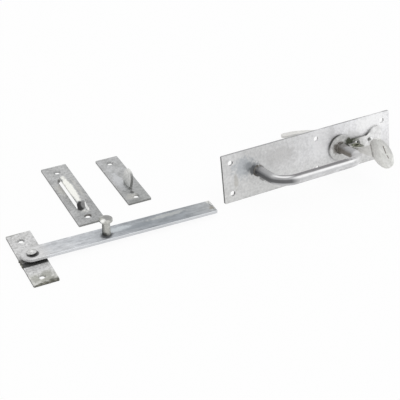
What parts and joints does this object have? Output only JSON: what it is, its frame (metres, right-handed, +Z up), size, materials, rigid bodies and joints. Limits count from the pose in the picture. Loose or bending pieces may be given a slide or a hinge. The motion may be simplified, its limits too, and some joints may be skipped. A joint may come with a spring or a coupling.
{
  "type": "suffolk latch",
  "caption": "Suffolk latch set laid out side by side: D-handle plate with thumb lever, pivoting latch bar with knob, strap keeper and hook catch, in galvanised steel.",
  "frame": {"origin": "bottom centre of the whole set as laid out in the picture", "axes": "+X to the right along the latch bar and the handle plate, +Y away from the viewer along the flat plates, +Z up out of the flat plates"},
  "size_m": [0.4112, 0.1876, 0.0501],
  "materials": {
    "galvanised_plate": "hot-dip galvanised sheet steel, dull mottled zinc",
    "galvanised_bar": "galvanised bar steel, satin with darker streaks",
    "galvanised_forging": "galvanised forged steel, slightly lumpy zinc skin",
    "zinc_rivet": "zinc coated rivet steel, dulled"
  },
  "bodies": {
    "base": {"handle_plate": "galvanised_plate", "pull_handle": "galvanised_bar", "thumb_bracket": "galvanised_plate", "bracket_rivet": "zinc_rivet", "lever_pin": "zinc_rivet", "pivot_plate": "galvanised_plate", "bar_spacer": "zinc_rivet", "bar_rivet": "zinc_rivet", "keeper_plate": "galvanised_plate", "catch_plate": "galvanised_plate", "catch_hook": "galvanised_forging"},
    "bar": {"latch_bar": "galvanised_bar", "bar_knob": "galvanised_forging"},
    "lever": {"thumb_lever": "galvanised_forging"}
  },
  "joints": [
    {"name": "bar_swing", "type": "hinge", "parent": "base", "child": "bar", "pos_m": [-0.1936, -0.0476, 0.0061], "axis": [0, 0, 1], "range_deg": [-90, 20]},
    {"name": "thumb_press", "type": "hinge", "parent": "base", "child": "lever", "pos_m": [0.15582, -0.04653, 0.02713], "axis": [0.0065, -0.1924, -0.9813], "range_deg": [-3, 20]}
  ]
}
